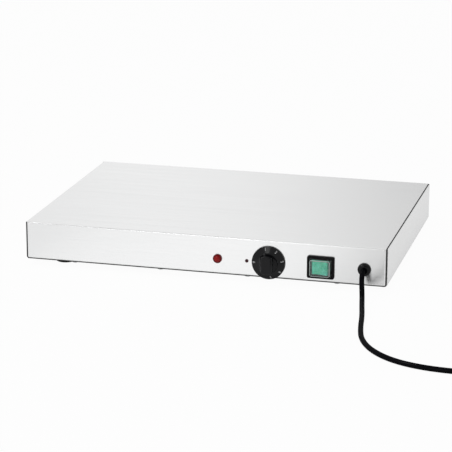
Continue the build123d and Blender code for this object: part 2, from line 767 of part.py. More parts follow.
GLAND_HEAD_R = 8.9
GLAND_OUT = 5.5
GLAND_NECK_R = 6.2
GLAND_IN = 16.0
GLAND_TAIL_R = 5.2
CORD_R = CORD_D / 2
GLAND_FACE = FRONT - GLAND_OUT

with BuildPart() as strain_relief:
    with BuildSketch(turning_plane(GLAND_X, GLAND_Z)):
        with BuildLine():
            Polyline(
                (CORD_R, GLAND_OUT),
                (CORD_R, -GLAND_IN),
                (GLAND_TAIL_R, -GLAND_IN),
                (GLAND_NECK_R, -SHEET - 2.5),
                (GLAND_NECK_R, 0),
                (GLAND_HEAD_R, 0),
                (GLAND_HEAD_R, 1.4),
            )
            RadiusArc((GLAND_HEAD_R, 1.4), (CORD_R + 1.6, GLAND_OUT), -5.6)
            Line((CORD_R + 1.6, GLAND_OUT), (CORD_R, GLAND_OUT))
        make_face()
    revolve(axis=Axis((GLAND_X, FRONT, GLAND_Z), (0, 1, 0)))
save(strain_relief, "strain_relief")

# Lead inside the case: sheath as far as the terminal block, then the separate wires

BLOCK_X = 214.0
BLOCK_Y = FRONT + 62.0
BLOCK_W = 34.0
BLOCK_D = 18.0
BLOCK_H = 14.0
WAY_PITCH = 10.5
WAY_X = [BLOCK_X + way * WAY_PITCH for way in (-1, 0, 1)]
WIRE_R = 1.3
SHEATH_END = FRONT + 30.0
WIRE_Z = FLOOR_Z + 8.0

cord_inner_end = tube(
    [
        (GLAND_X, GLAND_FACE, GLAND_Z),
        (GLAND_X, FRONT + 22, GLAND_Z),
        (GLAND_X - 4, SHEATH_END + 8, GLAND_Z - 5),
    ],
    CORD_R - 0.02,
    12.0,
)
save(cord_inner_end, "cord_inner_end")

with BuildPart() as terminal_block:
    with BuildSketch(Plane.XY.offset(FLOOR_Z)):
        with Locations((BLOCK_X, BLOCK_Y)):
            RectangleRounded(BLOCK_W, BLOCK_D, 2.0)
    extrude(amount=BLOCK_H)
    fillet(edges().group_by(Axis.Z)[-1], 1.0)
    with BuildSketch(front_plane(BLOCK_Y - BLOCK_D)):
        for way_x in WAY_X:
            with Locations((way_x, WIRE_Z)):
                Circle(WIRE_R + 0.3)
    extrude(amount=-2 * BLOCK_D, mode=Mode.SUBTRACT)
    with BuildSketch(Plane.XY.offset(FLOOR_Z + BLOCK_H)):
        for way_x in WAY_X:
            with Locations((way_x, BLOCK_Y - 5), (way_x, BLOCK_Y + 5)):
                Circle(2.1)
    extrude(amount=-4.0, mode=Mode.SUBTRACT)
save(terminal_block, "terminal_block")

CLAMP_SCREW_SPOTS = [(way_x, BLOCK_Y + dy) for way_x in WAY_X for dy in (-5, 5)]

with BuildPart() as terminal_screws:
    with BuildSketch(Plane.XY.offset(FLOOR_Z + BLOCK_H - 3.6)):
        with Locations(*CLAMP_SCREW_SPOTS):
            Circle(1.9)
    extrude(amount=2.4)
    with BuildSketch(Plane.XY.offset(FLOOR_Z + BLOCK_H - 1.2)):
        with Locations(*CLAMP_SCREW_SPOTS):
            Rectangle(4.0, 0.6)
    extrude(amount=-0.7, mode=Mode.SUBTRACT)
save(terminal_screws, "terminal_screws")

EARTH_X = 236.0
EARTH_Y = FRONT + 96.0

with BuildPart() as earth_stud:
    with BuildSketch(Plane.XY.offset(FLOOR_Z)):
        with Locations((EARTH_X, EARTH_Y)):
            Circle(SHANK_R)
    extrude(amount=14.0)
save(earth_stud, "earth_stud")

earth_nuts = nuts([(EARTH_X, EARTH_Y)], FLOOR_Z + 3.0, HEX_R, HEX_H)
save(earth_nuts, "earth_nut")

with BuildPart() as earth_tag:
    with BuildSketch(Plane.XY.offset(FLOOR_Z + 2.0)):
        with Locations((EARTH_X, EARTH_Y)):
            Circle(4.2)
        with Locations((EARTH_X, EARTH_Y - 7)):
            Rectangle(4.0, 8.0)
        with Locations((EARTH_X, EARTH_Y)):
            Circle(SHANK_R + 0.1, mode=Mode.SUBTRACT)
    extrude(amount=1.0)
save(earth_tag, "earth_tag")

# Thermal cut-out against the spreader, with its two terminals

CUTOUT_SPOT = (-60.0, FRONT + 44.0)
CUTOUT_R = 8.5
CUTOUT_T = 6.5

with BuildPart() as thermal_cutout:
    with BuildSketch(Plane.XY.offset(mica_top)):
        with Locations(CUTOUT_SPOT):
            Circle(CUTOUT_R)
            Rectangle(31.0, 6.0)
    extrude(amount=-1.0)
    with BuildSketch(Plane.XY.offset(mica_top - 1.0)):
        with Locations(CUTOUT_SPOT):
            Circle(CUTOUT_R - 0.8)
    extrude(amount=-CUTOUT_T)
    with BuildSketch(Plane.XY.offset(mica_top - 1.0 - CUTOUT_T)):
        with Locations((CUTOUT_SPOT[0], CUTOUT_SPOT[1] - 5), (CUTOUT_SPOT[0], CUTOUT_SPOT[1] + 5)):
            Rectangle(TERMINAL_W, TERMINAL_T)
    extrude(amount=-TERMINAL_L)
save(thermal_cutout, "thermal_cutout")

# Wires between the pieces, grouped by colour

BLOCK_BACK = BLOCK_Y + BLOCK_D / 2
BLOCK_FRONT = BLOCK_Y - BLOCK_D / 2
ZONE_Y = FRONT + 70.0


def wire_group(name, routes, bend=5.0):
    """Separate wires of one colour as a group of tubes."""
    with BuildPart() as group:
        for route in routes:
            with BuildLine() as path:
                FilletPolyline(*route, radius=bend)
            with BuildSketch(Plane(origin=path.line @ 0, z_dir=path.line % 0)):
                Circle(WIRE_R)
            sweep(path=path.line)
    save(group, name)


SWITCH_WIRE_Y = SWITCH_BACK + TERMINAL_L + 0.2
THERMO_WIRE_Y = THERMO_BACK + TERMINAL_L + 0.2
LAMP_WIRE_Y = LAMP_BACK + 7.2

wire_group(
    "wires_brown",
    [
        [
            (WAY_X[0], BLOCK_FRONT + 1, WIRE_Z),
            (WAY_X[0], BLOCK_FRONT - 10, WIRE_Z),
            (SWITCH_X + 8, BLOCK_FRONT - 10, SWITCH_Z - 6),
            (SWITCH_X + 8, SWITCH_WIRE_Y, SWITCH_Z - 6),
        ],
        [
            (SWITCH_X - 8, SWITCH_WIRE_Y, SWITCH_Z - 6),
            (SWITCH_X - 8, SWITCH_WIRE_Y + 14, SWITCH_Z - 6),
            (KNOB_X + 2, SWITCH_WIRE_Y + 26, KNOB_Z - 8),
            (KNOB_X + 2, THERMO_WIRE_Y, KNOB_Z - 8),
        ],
        [
            (KNOB_X - 12, THERMO_WIRE_Y, KNOB_Z - 8),
            (KNOB_X - 12, THERMO_WIRE_Y + 12, KNOB_Z - 8),
            (LAMP_X + 2.4, THERMO_WIRE_Y + 12, KNOB_Z),
            (LAMP_X + 2.4, LAMP_WIRE_Y, KNOB_Z),
        ],
    ],
)
wire_group(
    "wires_blue",
    [
        [
            (WAY_X[1], BLOCK_FRONT + 1, WIRE_Z),
            (WAY_X[1], BLOCK_FRONT - 7, WIRE_Z),
            (SWITCH_X + 8, BLOCK_FRONT - 7, SWITCH_Z + 6),
            (SWITCH_X + 8, SWITCH_WIRE_Y, SWITCH_Z + 6),
        ],
        [
            (SWITCH_X - 8, SWITCH_WIRE_Y, SWITCH_Z + 6),
            (SWITCH_X - 8, ZONE_Y - 4, SWITCH_Z + 6),
            (LAMP_X - 2.4, ZONE_Y - 4, KNOB_Z),
            (LAMP_X - 2.4, LAMP_WIRE_Y, KNOB_Z),
        ],
    ],
)
wire_group(
    "wires_earth",
    [
        [
            (WAY_X[2], BLOCK_BACK - 1, WIRE_Z),
            (WAY_X[2], BLOCK_BACK + 10, WIRE_Z),
            (EARTH_X, EARTH_Y - 20, FLOOR_Z + 2.5),
            (EARTH_X, EARTH_Y - 11, FLOOR_Z + 2.5),
        ],
    ],
)

# Free cord: hangs from the strain relief, runs out over the table and bends to the right

CORD_FLOOR = CORD_R
COIL_Z = CORD_FLOOR + TIE_T + 0.25
COIL_CENTRE = (431.5, -389.5)


def arc_radii(points):
    """Largest tangent arc that each corner of a route has room for."""
    found = []
    for before, here, after in zip(points, points[1:], points[2:]):
        run_in = Vector(*here) - Vector(*before)
        run_out = Vector(*after) - Vector(*here)
        half_turn = radians(run_in.get_angle(run_out)) / 2
        found.append(0.45 * min(run_in.length, run_out.length) / tan(half_turn))
    return found


def cord_tube(name, points):
    """Plain tube of a free stretch of the cord, with its radii and its volume checked."""
    bends = arc_radii(points)
    with BuildPart() as stretch:
        with BuildLine() as path:
            FilletPolyline(*points, radius=bends)
        with BuildSketch(Plane(origin=path.line @ 0, z_dir=path.line % 0)):
            Circle(CORD_R)
        sweep(path=path.line)
    length = path.wire().length
    ratio = stretch.part.volume / (pi * CORD_R**2 * length)
    print(name, "length", round(length, 1), "radii", [round(bend, 1) for bend in bends])
    print(name, "volume against section times length", round(ratio, 5))
    save(stretch, name)
    return length


# Coil: layer one winds inwards, climbs in half a turn, and layer two winds out again

REVERSE_AT = (COIL_LOOPS - 0.5) / 2


def coil_state(loops):
    """Point and unit direction on the coil after a number of loops."""
    if loops < REVERSE_AT:
        radius = COIL_R - COIL_PITCH * loops
        radius_rate = -COIL_PITCH
        climb = 0.0
        climb_rate = 0.0
    elif loops < REVERSE_AT + 0.5:
        part_way = (loops - REVERSE_AT) / 0.5
        inner = COIL_R - COIL_PITCH * REVERSE_AT
        radius = inner - COIL_PITCH * 0.5 * part_way * (1 - part_way)
        radius_rate = -COIL_PITCH * (1 - 2 * part_way)
        climb = COIL_LAYER * (1 - cos(pi * part_way)) / 2
        climb_rate = COIL_LAYER * pi * sin(pi * part_way)
    else:
        radius = COIL_R - COIL_PITCH * (COIL_LOOPS - loops)
        radius_rate = COIL_PITCH
        climb = COIL_LAYER
        climb_rate = 0.0
    angle = radians(COIL_START) + 2 * pi * loops
    spot = Vector(
        COIL_CENTRE[0] + radius * cos(angle),
        COIL_CENTRE[1] + radius * sin(angle),
        COIL_Z + climb,
    )
    heading = Vector(
        radius_rate * cos(angle) - 2 * pi * radius * sin(angle),
        radius_rate * sin(angle) + 2 * pi * radius * cos(angle),
        climb_rate,
    )
    return spot, heading.normalized()


def biarc_joint(start, start_way, end, end_way):
    """Meeting point of the two arcs that join two places with given directions."""
    chord = end - start
    ways = start_way + end_way
    square = 2 * (1 - start_way.dot(end_way))
    slope = chord.dot(ways)
    reach = (-slope + sqrt(slope**2 + square * chord.dot(chord))) / square
    return (start + start_way * reach + end - end_way * reach) / 2


QUARTERS = 17
coil_stops = [COIL_LOOPS * quarter / QUARTERS for quarter in range(QUARTERS + 1)]

with BuildPart() as cord_coil:
    with BuildLine() as coil_path:
        for coil_from, coil_to in zip(coil_stops, coil_stops[1:]):
            spot_a, way_a = coil_state(coil_from)
            spot_b, way_b = coil_state(coil_to)
            joint = biarc_joint(spot_a, way_a, spot_b, way_b)
            first_arc = TangentArc(spot_a, joint, tangent=way_a)
            TangentArc(joint, spot_b, tangent=first_arc % 1)
    with BuildSketch(Plane(origin=coil_path.line @ 0, z_dir=coil_path.line % 0)):
        Circle(CORD_R)
    sweep(path=coil_path.line)
save(cord_coil, "cord_coil")

SAMPLES_PER_LOOP = 90
coil_samples = [coil_state(step / SAMPLES_PER_LOOP)[0] for step in range(int(COIL_LOOPS * SAMPLES_PER_LOOP))]
least_gap = min(
    (coil_samples[i] - coil_samples[j]).length - CORD_D
    for i in range(0, len(coil_samples), 3)
    for j in range(i + SAMPLES_PER_LOOP // 3, len(coil_samples))
)
coil_length = coil_path.wire().length
coil_ratio = cord_coil.part.volume / (pi * CORD_R**2 * coil_length)
print("cord_coil length", round(coil_length, 1), "least gap to itself", round(least_gap, 2))
print("cord_coil volume against section times length", round(coil_ratio, 5))

coil_in, coil_in_way = coil_state(0)
coil_out, coil_out_way = coil_state(COIL_LOOPS)

CORD_POINTS = [
    (GLAND_X, GLAND_FACE, GLAND_Z),
    (GLAND_X, GLAND_FACE - 14.5, GLAND_Z),
    (221.6, GLAND_FACE - 17.5, CORD_FLOOR),
    (229.2, -228.0, CORD_FLOOR),
    (238.0, -272.5, CORD_FLOOR),
    (244.5, -317.0, CORD_FLOOR),
    (253.6, -359.0, CORD_FLOOR),
    (273.7, -396.0, CORD_FLOOR),
    (305.2, -424.5, CORD_FLOOR),
    (346.8, -439.6, CORD_FLOOR + 0.2),
    tuple(coil_in - coil_in_way * 44.0),
    tuple(coil_in),
]
cord_length = cord_tube("mains_cord", CORD_POINTS)

# Plug: straight moulded two-pin body with side earth contacts, lying beside the coil

PLUG_HEADING = 106.0
PLUG_DISC_R = 18.4
PLUG_AXIS_Z = PLUG_DISC_R + 0.1
PLUG_REAR = (460.0, -301.5, PLUG_AXIS_Z)
PLUG_DIR = (cos(radians(PLUG_HEADING)), sin(radians(PLUG_HEADING)), 0)
PLUG_SIDE = (sin(radians(PLUG_HEADING)), -cos(radians(PLUG_HEADING)), 0)
BOOT_L = 24.0
BOOT_R = 5.2
GRIP_L = 30.0
DISC_T = 13.0
PIN_R = 2.4
PIN_L = 19.0
PIN_PITCH = 19.0

LEAD_POINTS = [
    tuple(coil_out),
    tuple(coil_out + coil_out_way * 26.0),
    (PLUG_REAR[0] - PLUG_DIR[0] * 26.0, PLUG_REAR[1] - PLUG_DIR[1] * 26.0, PLUG_AXIS_Z),
    PLUG_REAR,
]
lead_length = cord_tube("plug_lead", LEAD_POINTS)
print("whole cord", round(cord_length + coil_length + lead_length, 1))


def plug_plane(along):
    """Plane square to the plug's axis, a distance along from the end of its boot."""
    spot = [PLUG_REAR[axis] + PLUG_DIR[axis] * along for axis in range(3)]
    return Plane(origin=tuple(spot), x_dir=PLUG_SIDE, z_dir=PLUG_DIR)


with BuildPart() as plug_body:
    with BuildSketch(plug_plane(0)):
        Circle(BOOT_R)
    with BuildSketch(plug_plane(BOOT_L)):
        Circle(BOOT_R + 2.6)
    loft()
    with BuildSketch(plug_plane(BOOT_L)):
        RectangleRounded(17.0, 15.0, 5.0)
    with BuildSketch(plug_plane(BOOT_L + 8)):
        RectangleRounded(25.0, 21.0, 7.0)
    with BuildSketch(plug_plane(BOOT_L + GRIP_L)):
        RectangleRounded(29.0, 25.0, 8.0)
    loft(ruled=True)
    with BuildSketch(plug_plane(BOOT_L + GRIP_L)):
        Circle(PLUG_DISC_R)
        with Locations((0, PLUG_DISC_R - 0.5), (0, -PLUG_DISC_R + 0.5)):
            Rectangle(6.4, 3.4, mode=Mode.SUBTRACT)
    extrude(amount=DISC_T)
save(plug_body, "plug_body")

with BuildPart() as plug_pins:
    with BuildSketch(plug_plane(BOOT_L + GRIP_L + DISC_T)):
        with Locations((-PIN_PITCH / 2, 0), (PIN_PITCH / 2, 0)):
            Circle(PIN_R)
    extrude(amount=PIN_L)
    fillet(edges().group_by(Axis(PLUG_REAR, PLUG_DIR))[-1], 1.6)
save(plug_pins, "plug_pins")

with BuildPart() as plug_earth_clips:
    with BuildSketch(plug_plane(BOOT_L + GRIP_L)):
        with Locations((0, PLUG_DISC_R - 1.6), (0, -PLUG_DISC_R + 1.6)):
            Rectangle(5.6, 1.0)
    extrude(amount=DISC_T)
save(plug_earth_clips, "plug_earth_clips")

# Tie that holds the coil, a flat strap round the section of its turns

TIE_ANGLE = 150.0
TIE_W = 6.0
TIE_DIR = Vector(cos(radians(TIE_ANGLE)), sin(radians(TIE_ANGLE)), 0)
TURNS_LOW = COIL_R - COIL_PITCH * REVERSE_AT - 1.0 - CORD_R
TURNS_HIGH = COIL_R + CORD_R
TIE_MID_R = (TURNS_LOW + TURNS_HIGH) / 2
TIE_INNER_W = TURNS_HIGH - TURNS_LOW + 0.8
TIE_INNER_H = COIL_LAYER + CORD_D + 0.4
TIE_MID_Z = COIL_Z + COIL_LAYER / 2
TIE_PLANE = Plane(
    origin=(
        COIL_CENTRE[0] + TIE_MID_R * TIE_DIR.X,
        COIL_CENTRE[1] + TIE_MID_R * TIE_DIR.Y,
        TIE_MID_Z,
    ),
    x_dir=TIE_DIR,
    z_dir=(-TIE_DIR.Y, TIE_DIR.X, 0),
)

with BuildPart() as cord_tie:
    with BuildSketch(TIE_PLANE):
        RectangleRounded(TIE_INNER_W + 2 * TIE_T, TIE_INNER_H + 2 * TIE_T, 3.4 + TIE_T)
        RectangleRounded(TIE_INNER_W, TIE_INNER_H, 3.4, mode=Mode.SUBTRACT)
    extrude(amount=TIE_W / 2, both=True)
save(cord_tie, "cord_tie")
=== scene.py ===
"""Looks of the electric warming plate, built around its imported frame. Metres, +Z up."""
from math import cos, pi, radians, sin

import bmesh
import bpy
from mathutils import Matrix, Vector


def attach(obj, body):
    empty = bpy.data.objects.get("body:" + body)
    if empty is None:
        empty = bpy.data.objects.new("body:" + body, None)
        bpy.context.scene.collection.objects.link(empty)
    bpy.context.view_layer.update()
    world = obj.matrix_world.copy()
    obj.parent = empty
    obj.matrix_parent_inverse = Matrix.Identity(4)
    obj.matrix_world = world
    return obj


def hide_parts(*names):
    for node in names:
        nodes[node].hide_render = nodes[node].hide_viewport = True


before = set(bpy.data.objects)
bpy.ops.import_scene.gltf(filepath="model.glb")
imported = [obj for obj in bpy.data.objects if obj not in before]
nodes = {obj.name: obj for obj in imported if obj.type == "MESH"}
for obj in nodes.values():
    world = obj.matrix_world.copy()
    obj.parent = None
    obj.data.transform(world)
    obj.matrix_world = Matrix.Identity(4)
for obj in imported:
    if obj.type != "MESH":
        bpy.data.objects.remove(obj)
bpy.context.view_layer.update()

MM = 0.001

# Camera, solved from the corners of the case in the picture

CAM_AT = Vector((0.67855, -2.64993, 0.82047))
CAM_AZIMUTH = radians(14.573)
CAM_ELEVATION = radians(16.159)
CAM_ROLL = radians(0.178)
CAM_LENS = 160.75
CAM_SENSOR = 36.0
CLIP_NEAR = 0.1
CLIP_FAR = 50


def make_camera():
    """Camera at the picture's own viewpoint."""
    back = Vector(
        (
            sin(CAM_AZIMUTH) * cos(CAM_ELEVATION),
            -cos(CAM_AZIMUTH) * cos(CAM_ELEVATION),
            sin(CAM_ELEVATION),
        )
    )
    right = Vector((cos(CAM_AZIMUTH), sin(CAM_AZIMUTH), 0))
    up = back.cross(right)
    rolled_right = right * cos(CAM_ROLL) + up * sin(CAM_ROLL)
    rolled_up = up * cos(CAM_ROLL) - right * sin(CAM_ROLL)
    data = bpy.data.cameras.new("photo_camera")
    data.lens = CAM_LENS
    data.sensor_width = CAM_SENSOR
    data.clip_start = CLIP_NEAR
    data.clip_end = CLIP_FAR
    camera = bpy.data.objects.new("photo_camera", data)
    bpy.context.scene.collection.objects.link(camera)
    rotation = Matrix((rolled_right, rolled_up, back)).transposed()
    camera.matrix_world = Matrix.Translation(CAM_AT) @ rotation.to_4x4()
    bpy.context.scene.camera = camera


make_camera()

# Cord: the route's points are the same as the tube's in the part, and the coil is the same formula

CORD_R = 3.4 * MM
CORD_FLOOR = CORD_R
TIE_LIFT = 0.95 * MM
COIL_R = 44.5 * MM
COIL_LOOPS = 4.258
COIL_PITCH = 7.5 * MM
COIL_LAYER = 7.3 * MM
COIL_START = radians(-78.0)
COIL_CENTRE = Vector((431.5, -389.5, 0)) * MM
COIL_Z = CORD_FLOOR + TIE_LIFT
REVERSE_AT = (COIL_LOOPS - 0.5) / 2
POINTS_PER_LOOP = 24
LOOP_STEP = 0.001
LEAD_IN = 44.0 * MM
LEAD_OUT = 26.0 * MM
PLUG_STRAIGHT = 26.0 * MM
PLUG_HEADING = radians(106.0)
PLUG_REAR = Vector((460.0, -301.5, 18.5)) * MM
PLUG_DIR = Vector((cos(PLUG_HEADING), sin(PLUG_HEADING), 0))


def coil_point(loops):
    """Place on the coil after a number of loops: in on the floor, up a layer, and out again."""
    climb = 0.0
    radius = COIL_R - COIL_PITCH * min(loops, COIL_LOOPS - loops)
    if REVERSE_AT <= loops < REVERSE_AT + 0.5:
        part_way = (loops - REVERSE_AT) / 0.5
        radius = COIL_R - COIL_PITCH * (REVERSE_AT + 0.5 * part_way * (1 - part_way))
        climb = COIL_LAYER * (1 - cos(pi * part_way)) / 2
    elif loops >= REVERSE_AT + 0.5:
        climb = COIL_LAYER
    angle = COIL_START + 2 * pi * loops
    return COIL_CENTRE + Vector((radius * cos(angle), radius * sin(angle), COIL_Z + climb))


def coil_way(loops):
    """Direction of the cord on the coil after a number of loops."""
    return (coil_point(loops + LOOP_STEP) - coil_point(loops - LOOP_STEP)).normalized()


OUT_POINTS = [
    (219.5, -169.5, 31.0),
    (219.5, -184.0, 31.0),
    (221.6, -187.0, 3.4),
    (229.2, -228.0, 3.4),
    (238.0, -272.5, 3.4),
    (244.5, -317.0, 3.4),
    (253.6, -359.0, 3.4),
    (273.7, -396.0, 3.4),
    (305.2, -424.5, 3.4),
    (346.8, -439.6, 3.6),
]


def cord_route():
    """All control points of the cord, from the strain relief to the plug."""
    route = [Vector(point) * MM for point in OUT_POINTS]
    route.append(coil_point(0) - coil_way(LOOP_STEP) * LEAD_IN)
    last = int(COIL_LOOPS * POINTS_PER_LOOP)
    route += [coil_point(COIL_LOOPS * step / last) for step in range(last + 1)]
    route.append(coil_point(COIL_LOOPS) + coil_way(COIL_LOOPS - LOOP_STEP) * LEAD_OUT)
    route.append(PLUG_REAR - PLUG_DIR * PLUG_STRAIGHT)
    route.append(PLUG_REAR.copy())
    return route


def route_curve(bevel):
    """Curve object that follows the cord's route, plain or as a tube."""
    route = cord_route()
    data = bpy.data.curves.new("cord_route", "CURVE")
    data.dimensions = "3D"
    data.bevel_depth = bevel
    data.bevel_resolution = 6
    data.resolution_u = 8
    data.use_fill_caps = bevel > 0
    spline = data.splines.new("NURBS")
    spline.points.add(len(route) - 1)
    for point, place in zip(spline.points, route):
        point.co = (*place, 1)
    spline.order_u = 3
    spline.use_endpoint_u = True
    holder = bpy.data.objects.new("cord_route", data)
    bpy.context.scene.collection.objects.link(holder)
    return holder


def mesh_of(holder):
    """Mesh of a curve or text object, which is then removed."""
    bpy.context.view_layer.update()
    depsgraph = bpy.context.evaluated_depsgraph_get()
    mesh = bpy.data.meshes.new_from_object(holder.evaluated_get(depsgraph))
    bpy.data.objects.remove(holder)
    return mesh


def make_cord():
    """One smooth round cord that stands for the part's plain tubes and its coil."""
    line = mesh_of(route_curve(0.0))
    bpy.data.meshes.remove(line)
    mesh = mesh_of(route_curve(CORD_R))
    mesh.shade_smooth()
    cord = bpy.data.objects.new("power_cord", mesh)
    bpy.context.scene.collection.objects.link(cord)
    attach(cord, "case")
    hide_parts("mains_cord", "cord_coil", "plug_lead")
    return cord


power_cord = make_cord()

# Node helpers


class Nodes:
    """A node tree whose nodes are added one call at a time."""

    def __init__(self, tree):
        self.tree = tree

    def add(self, kind, **values):
        """New node, with its own settings given by name."""
        node = self.tree.nodes.new(kind)
        for name, value in values.items():
            setattr(node, name, value)
        return node

    def join(self, source, target):
        """Link an output to an input."""
        self.tree.links.new(source, target)

    def feed(self, value, socket):
        """Link an output to a socket, or set the socket to a plain number or vector."""
        if isinstance(value, bpy.types.NodeSocket):
            self.join(value, socket)
        else:
            socket.default_value = value

    def number(self, operation, first, second=0.0):
        """Math node on two values, each an output or a number."""
        node = self.add("ShaderNodeMath", operation=operation)
        self.feed(first, node.inputs[0])
        self.feed(second, node.inputs[1])
        return node.outputs[0]

    def vector(self, operation, first, second):
        """Vector math node on two vectors, each an output or a plain one."""
        node = self.add("ShaderNodeVectorMath", operation=operation)
        self.feed(first, node.inputs[0])
        self.feed(second, node.inputs[1])
        return node.outputs["Value" if operation in ("DOT_PRODUCT", "LENGTH") else "Vector"]

    def ray_kinds(self):
        """Flags for a ray straight from the camera, and for one that came by a mirror or glass."""
        path = self.add("ShaderNodeLightPath").outputs
        mirrored = self.number("MAXIMUM", path["Is Glossy Ray"], path["Is Transmission Ray"])
        return path["Is Camera Ray"], mirrored

    def mirror_level(self, mirrored, value, steps):
        """Strength that is 1 where it is seen straight, and follows the steps in mirrors."""
        drop = self.number("MULTIPLY", mirrored, self.number("SUBTRACT", 1.0, self.levels(value, steps)))
        return self.number("SUBTRACT", 1.0, drop)

    def blend(self, share, first, second, output):
        """Send a mix of two shaders to the output."""
        node = self.add("ShaderNodeMixShader")
        self.join(share, node.inputs["Fac"])
        self.join(first, node.inputs[1])
        self.join(second, node.inputs[2])
        self.join(node.outputs[0], self.tree.nodes[output].inputs["Surface"])

    def span(self, value, low, high, start=0.3, end=0.7):
        """Value mapped from one range to another."""
        node = self.add("ShaderNodeMapRange")
        node.inputs["From Min"].default_value = start
        node.inputs["From Max"].default_value = end
        node.inputs["To Min"].default_value = low
        node.inputs["To Max"].default_value = high
        self.join(value, node.inputs["Value"])
        return node.outputs["Result"]

    def levels(self, value, steps):
        """Smooth curve through pairs of a value and its level."""
        start, end = steps[0][0], steps[-1][0]
        node = self.add("ShaderNodeFloatCurve")
        self.join(self.span(value, 0.0, 1.0, start, end), node.inputs["Value"])
        points = node.mapping.curves[0].points
        for at, level in steps[1:-1]:
            points.new((at - start) / (end - start), level)
        points[0].location = (0.0, steps[0][1])
        points[-1].location = (1.0, steps[-1][1])
        node.mapping.update()
        return node.outputs["Value"]


class Shader(Nodes):
    """A material, with helpers for the patterns on it."""

    def __init__(self, name):
        self.material = bpy.data.materials.new(name)
        self.material.use_nodes = True
        super().__init__(self.material.node_tree)
        self.surface = self.tree.nodes["Principled BSDF"]
        self.place = self.add("ShaderNodeTexCoord").outputs["Object"]

    def put(self, **values):
        """Set plain numbers or colours on the surface shader."""
        for name, value in values.items():
            self.surface.inputs[name.replace("_", " ")].default_value = value

    def stretched(self, scale):
        """Object coordinates scaled on each axis."""
        mapping = self.add("ShaderNodeMapping")
        mapping.inputs["Scale"].default_value = scale
        self.join(self.place, mapping.inputs["Vector"])
        return mapping.outputs["Vector"]

    def noise(self, scale, detail=4.0, vector=None, roughness=0.55):
        """Noise texture's value."""
        node = self.add("ShaderNodeTexNoise")
        node.inputs["Scale"].default_value = scale
        node.inputs["Detail"].default_value = detail
        node.inputs["Roughness"].default_value = roughness
        self.join(vector or self.place, node.inputs["Vector"])
        return node.outputs["Fac"]

    def ramp(self, value, low, high, start=0.3, end=0.7):
        """Colour that goes from low to high as the value goes from start to end."""
        node = self.add("ShaderNodeValToRGB")
        node.color_ramp.elements[0].position = start
        node.color_ramp.elements[0].color = (*low, 1)
        node.color_ramp.elements[1].position = end
        node.color_ramp.elements[1].color = (*high, 1)
        self.join(value, node.inputs["Fac"])
        return node.outputs["Color"]

    def mix(self, share, first, second):
        """Blend of two colours by a share."""
        node = self.add("ShaderNodeMix", data_type="RGBA")
        self.join(share, node.inputs["Factor"])
        self.join(first, node.inputs["A"])
        self.join(second, node.inputs["B"])
        return node.outputs["Result"]

    def bump(self, value, strength, distance, below=None):
        """Bump from a value, laid over an earlier bump if there is one."""
        node = self.add("ShaderNodeBump")
        node.inputs["Strength"].default_value = strength
        node.inputs["Distance"].default_value = distance
        self.join(value, node.inputs["Height"])
        if below:
            self.join(below, node.inputs["Normal"])
        return node.outputs["Normal"]

    def paint(self, colour=None, roughness=None, normal=None):
        """Link the finished values to the surface."""
        for source, name in ((colour, "Base Color"), (roughness, "Roughness"), (normal, "Normal")):
            if source:
                self.join(source, self.surface.inputs[name])
        return self.material


# Materials

GRAIN_ACROSS = 3600.0
GRAIN_ALONG = 26.0
BAND_ACROSS = 300.0
BAND_ALONG = 4.0
SKIN_ROUGH = 0.18
LAMP_AXIS = Vector((20.7, 0.0, 30.3)) * MM
LAMP_R = 6.1 * MM
LENS_PAINTED_LIGHT_R = 0.35 * LAMP_R
LENS_PAINTED_SHADE_R = 0.95 * LAMP_R
CAP_AXIS = Vector((161.3, 0.0, 29.5)) * MM
CAP_FACE = -173.0 * MM
CAP_HALF_W = 13.4 * MM
CAP_HALF_H = 10.85 * MM
CAP_LINE = 0.8 * MM
CAP_CLEAR = 0.95
CAP_GLEAM_CLEARNESS = 0.30


def satin_steel(name, along):
    """Stainless sheet, finely ground along one level axis, with faint handling marks."""
    shader = Shader(name)
    fine = [GRAIN_ACROSS] * 3
    fine[along] = GRAIN_ALONG
    grain = shader.noise(1.0, 3.0, shader.stretched(fine))
    broad = [BAND_ACROSS] * 3
    broad[along] = BAND_ALONG
    bands = shader.noise(1.0, 2.0, shader.stretched(broad))
    cloud = shader.noise(7.0, 3.0)
    colour = shader.mix(
        shader.span(cloud, 0.0, 1.0),
        shader.ramp(grain, (0.880, 0.885, 0.890), (0.930, 0.932, 0.932)),
        shader.ramp(grain, (0.895, 0.900, 0.902), (0.940, 0.942, 0.940)),
    )
    across = shader.add("ShaderNodeTangent", direction_type="RADIAL", axis="XY"[along])
    shader.join(across.outputs["Tangent"], shader.surface.inputs["Tangent"])
    shader.put(Metallic=1.0, Anisotropic=0.6)
    return shader.paint(colour, shader.span(bands, 0.21, 0.27), shader.bump(grain, 0.03, 0.00001))


def moulded(name, dark, light, low, high, pit=900.0, depth=0.00003, strength=0.25, shine=0.5):
    """Moulded plastic or rubber: faint colour cloud, uneven gloss and a fine skin texture."""
    shader = Shader(name)
    shader.put(Specular_IOR_Level=shine)
    cloud = shader.noise(60.0, 4.0)
    skin = shader.noise(pit, 3.0)
    colour = shader.ramp(cloud, dark, light)
    roughness = shader.span(cloud, low, high)
    normal = shader.bump(skin, strength, depth)
    return shader.paint(colour, roughness, normal)


def glossy_black(name, dark, light, gloss, pit=900.0):
    """Deep black moulding whose only shine is a thin smooth skin."""
    material = moulded(name, dark, light, 0.35, 0.45, pit, shine=0.0)
    surface = material.node_tree.nodes["Principled BSDF"]
    surface.inputs["Coat Weight"].default_value = gloss
    surface.inputs["Coat Roughness"].default_value = SKIN_ROUGH
    return material


def metal(name, dark, light, low, high, grain=500.0):
    """Plain worked or plated metal."""
    shader = Shader(name)
    cloud = shader.noise(120.0, 5.0)
    fine = shader.noise(grain, 2.0)
    shader.put(Metallic=1.0)
    colour = shader.ramp(cloud, dark, light)
    roughness = shader.span(cloud, low, high)
    return shader.paint(colour, roughness, shader.bump(fine, 0.12, 0.00002))


